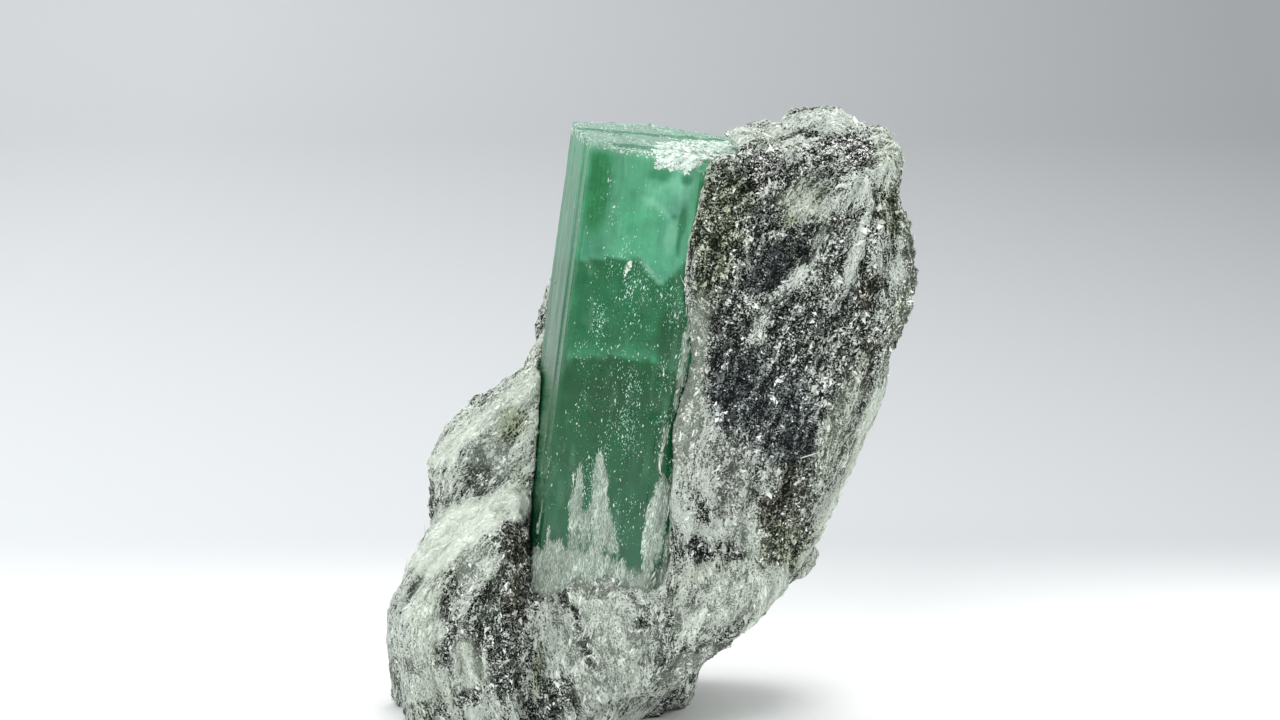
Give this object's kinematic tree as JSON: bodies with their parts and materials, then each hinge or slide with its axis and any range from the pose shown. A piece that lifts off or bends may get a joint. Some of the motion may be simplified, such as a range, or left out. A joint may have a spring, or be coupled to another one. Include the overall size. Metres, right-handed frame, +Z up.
{
  "type": "emerald in matrix",
  "caption": "Six-sided green beryl crystal leaning in a rough, free-standing piece of silvery and dark mica schist.",
  "frame": {"origin": "middle of the box at the stone's flat base", "axes": "+Z up, -Y towards the front, where the crystal's widest bare face shows, and +X towards the tall slab"},
  "size_m": [0.0302, 0.0184, 0.035],
  "materials": {
    "emerald": "glassy, with long striations and milky veils",
    "schist": "rough, glittering mica"
  },
  "bodies": {
    "root": {"emerald_crystal": "emerald", "schist_matrix": "schist"}
  },
  "joints": []
}
